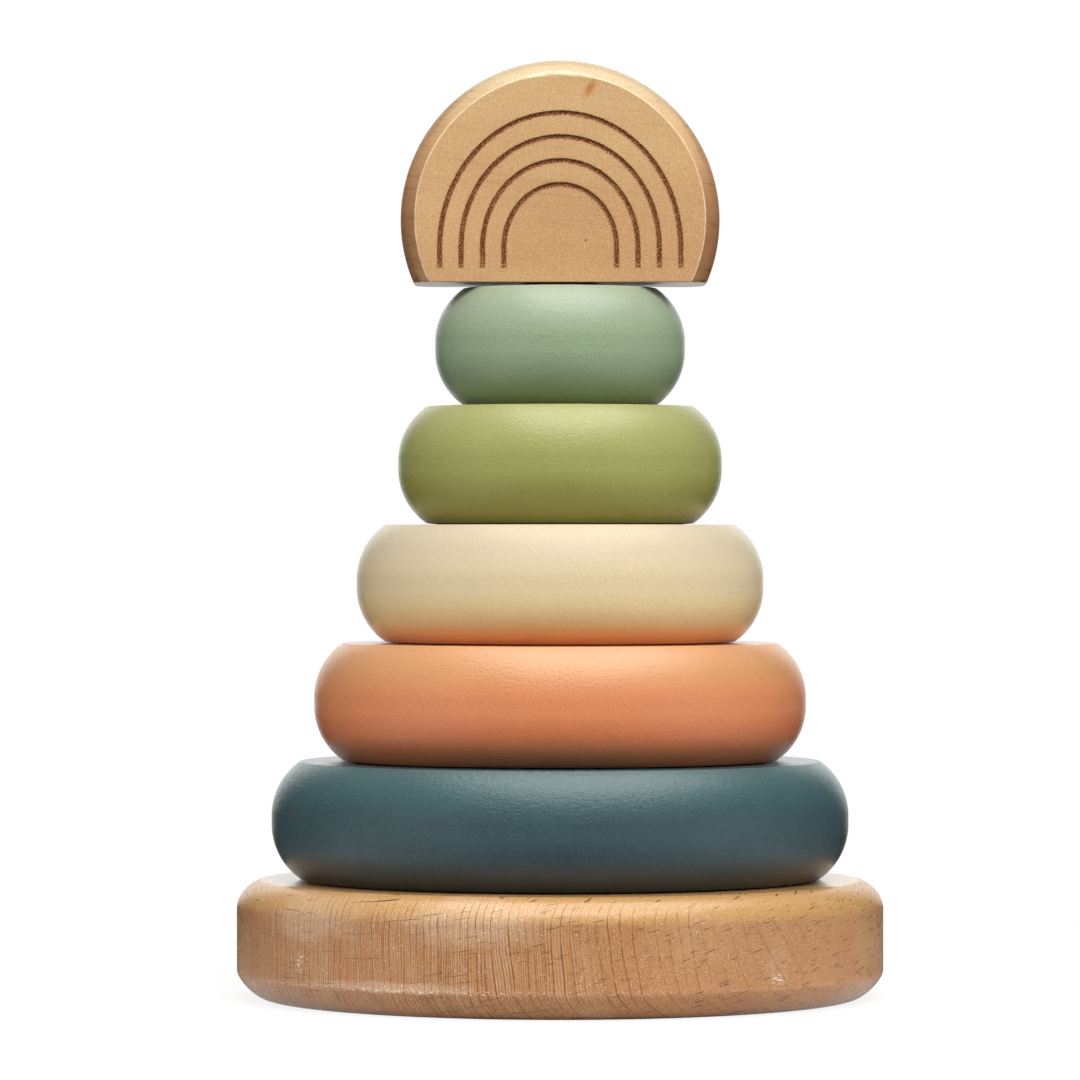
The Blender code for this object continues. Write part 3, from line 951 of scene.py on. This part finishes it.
camera = {
    "distance": 1.258,
    "height": 0.0988,
    "aside": -0.00434,
    "lens": 193.3,
    "sensor": 36.0,
    "clip": (0.01, 50.0),
}


def setCamera(settings):
    startFresh()
    bpy.ops.object.camera_add(location=(settings["aside"], -settings["distance"], settings["height"]),
                              rotation=(math.pi / 2, 0, 0))
    eye = bpy.context.active_object
    eye.name = "photoCamera"
    eye.data.sensor_width = settings["sensor"]
    eye.data.lens = settings["lens"]
    eye.data.clip_start, eye.data.clip_end = settings["clip"]
    bpy.context.scene.camera = eye
    print("camera set")


setCamera(camera)


# studio: white floor and surround, a softbox overhead and soft light from four sides

studio = {
    "floorSize": 6.0,
    "floorDrop": 0.0002,
    "floorTone": (0.9, 0.9, 0.9, 1.0),
    "floorNear": 0.72,                  # how much light the floor throws back close to the base
    "floorFar": 0.05,                   # and further out,
    "floorFade": (0.09, 0.22),          # changing between these distances
    "shadowKept": 0.14,                 # how much of the floor's own shading the camera sees
    "shadowFade": (0.06, 0.30),         # between these distances the floor turns plain white
    "surround": 0.02,                   # light that the surround gives
    "middle": 0.10,                     # height that the lamps are aimed at
    "overhead": {"place": (0.135, -0.24, 1.10), "size": (1.09, 0.88), "glow": 1.08},
    "aroundAway": 1.60,
    "aroundSize": (1.08, 1.08),
    "around": [
        {"name": "frontSoftbox", "turn": 10.0, "rise": 50.0, "glow": 7.1},
        {"name": "leftSoftbox", "turn": -65.0, "rise": 27.0, "glow": 3.4},
        {"name": "rightSoftbox", "turn": 65.0, "rise": 29.0, "glow": 3.5},
        {"name": "backSoftbox", "turn": 180.0, "rise": 25.0, "glow": 3.5},
    ],
    # what gloss shows
    "backdropEdge": (0.93, 0.98),       # how squarely a ray must point backwards to see the backdrop
    "backdropGlow": 1.1,
    "roomGlow": (0.05, 0.6),            # of the room in front, from level to overhead
    "sideGlow": 0.35,
    "glint": {"aside": 0.142, "forward": 0.23, "halfWidth": 0.57, "halfDepth": 0.60,
              "soft": 0.16, "glow": 4.6},       # the overhead softbox, at a ceiling 1 above
}


def whiteFloor(settings):
    sh = newFinish("floorWhite")
    sh.tree.nodes.remove(sh.tree.nodes["Principled BSDF"])
    ground = sh.add("ShaderNodeBsdfDiffuse")
    path = sh.add("ShaderNodeLightPath").outputs
    seen = sh.math("MAXIMUM", path["Is Camera Ray"], path["Is Glossy Ray"])
    seen = sh.math("MAXIMUM", seen, path["Is Transmission Ray"])
    place = sh.add("ShaderNodeTexCoord").outputs["Object"]
    reach = sh.vector("LENGTH", place)
    bounce = sh.ramp(reach, settings["floorNear"], settings["floorFar"], *settings["floorFade"])
    sh.feed(ground.inputs["Color"], sh.blend(seen, bounce, settings["floorTone"]))
    # gloss sees the white floor behind the tower and a dimmer one towards the room
    across, back = (sh.math("DIVIDE", way, reach) for way in sh.axes(place)[:2])
    sides = sh.product(sh.ramp(sh.math("ABSOLUTE", across), 0.06, 0.60, 0.20, 0.95),
                       sh.ramp(back, 1.0, 0.1, -0.2, 0.3), sh.ramp(reach, 1.0, 0.2, 0.35, 0.80))
    behind = sh.math("MAXIMUM", sides, sh.ramp(back, 0.0, 1.0, *settings["backdropEdge"]))
    glow = sh.add("ShaderNodeEmission")
    sh.feed(glow.inputs["Strength"], sh.blend(path["Is Glossy Ray"], (1, 1, 1, 1), behind))
    kept = sh.ramp(reach, settings["shadowKept"], 0.0, *settings["shadowFade"])
    mix = sh.add("ShaderNodeMixShader")
    sh.feed(mix.inputs[0], sh.product(seen, sh.math("SUBTRACT", 1.0, kept)))
    sh.feed(mix.inputs[1], ground.outputs[0])
    sh.feed(mix.inputs[2], glow.outputs[0])
    sh.feed(sh.tree.nodes["Material Output"].inputs["Surface"], mix.outputs[0])
    return sh.owner


def softbox(name, place, aim, size, glow):
    startFresh()
    bpy.ops.object.light_add(type="AREA", location=place, rotation=aim)
    lamp = bpy.context.active_object
    lamp.name = name
    lamp.data.shape = "RECTANGLE"
    lamp.data.size, lamp.data.size_y = size
    lamp.data.energy = glow * math.pi * size[0] * size[1]
    lamp.visible_camera = False
    lamp.visible_glossy = False     # what the gloss shows is in the surround


def placeLamps(settings):
    overhead = settings["overhead"]
    softbox("overheadSoftbox", overhead["place"], (0, 0, 0), overhead["size"], overhead["glow"])
    away = settings["aroundAway"]
    for lamp in settings["around"]:
        turn, rise = math.radians(lamp["turn"]), math.radians(lamp["rise"])
        place = (away * math.cos(rise) * math.sin(turn), -away * math.cos(rise) * math.cos(turn),
                 settings["middle"] + away * math.sin(rise))
        softbox(lamp["name"], place, (math.pi / 2 - rise, 0, turn), settings["aroundSize"], lamp["glow"])


def whiteSurround(settings):
    sh = Shader(bpy.data.worlds.new("whiteSurround"))
    path = sh.add("ShaderNodeLightPath").outputs
    x, y, z = sh.axes(sh.add("ShaderNodeTexCoord").outputs["Generated"])
    # what gloss shows: the white backdrop behind, a dim room in front that brightens overhead
    behind = sh.math("ADD", y, sh.product(z, 0.3))
    room = sh.math("MAXIMUM", sh.ramp(z, *settings["roomGlow"], 0.2, 0.85),
                   sh.ramp(behind, 0.0, settings["backdropGlow"], *settings["backdropEdge"]))
    sides = sh.product(sh.ramp(sh.math("ABSOLUTE", x), 0.0, settings["sideGlow"], 0.3, 0.9),
                       sh.ramp(y, 1.0, 0.0, -0.45, 0.1))
    room = sh.math("MAXIMUM", room, sides)
    # the overhead softbox, as its place on the ceiling
    glint = settings["glint"]
    soft = glint["soft"]
    height = sh.math("MAXIMUM", z, 0.05)
    aside = sh.math("SUBTRACT", sh.math("DIVIDE", x, height), glint["aside"])
    ahead = sh.math("ADD", sh.math("DIVIDE", y, height), glint["forward"])
    box = glint["glow"]
    for offset, half in ((aside, glint["halfWidth"]), (ahead, glint["halfDepth"])):
        box = sh.product(box, sh.ramp(sh.math("ABSOLUTE", offset), 1.0, 0.0, half - soft, half + soft))
    room = sh.math("MAXIMUM", room, box)
    seen = sh.math("MAXIMUM", path["Is Camera Ray"], path["Is Transmission Ray"])
    strength = sh.math("ADD", sh.product(path["Is Glossy Ray"], room),
                       sh.product(path["Is Diffuse Ray"], settings["surround"]))
    background = sh.tree.nodes["Background"]
    background.inputs["Color"].default_value = (1, 1, 1, 1)
    sh.feed(background.inputs["Strength"], sh.math("ADD", strength, seen))
    return sh.owner


def lightStudio(settings):
    scene = bpy.context.scene
    scene.view_settings.view_transform = "Standard"
    scene.world = whiteSurround(settings)
    startFresh()
    bpy.ops.mesh.primitive_plane_add(size=settings["floorSize"], location=(0, 0, -settings["floorDrop"]))
    floor = takePrimitive("studioFloor")
    floor.data.materials.append(whiteFloor(settings))
    placeLamps(settings)
    print("studio lit")


lightStudio(studio)
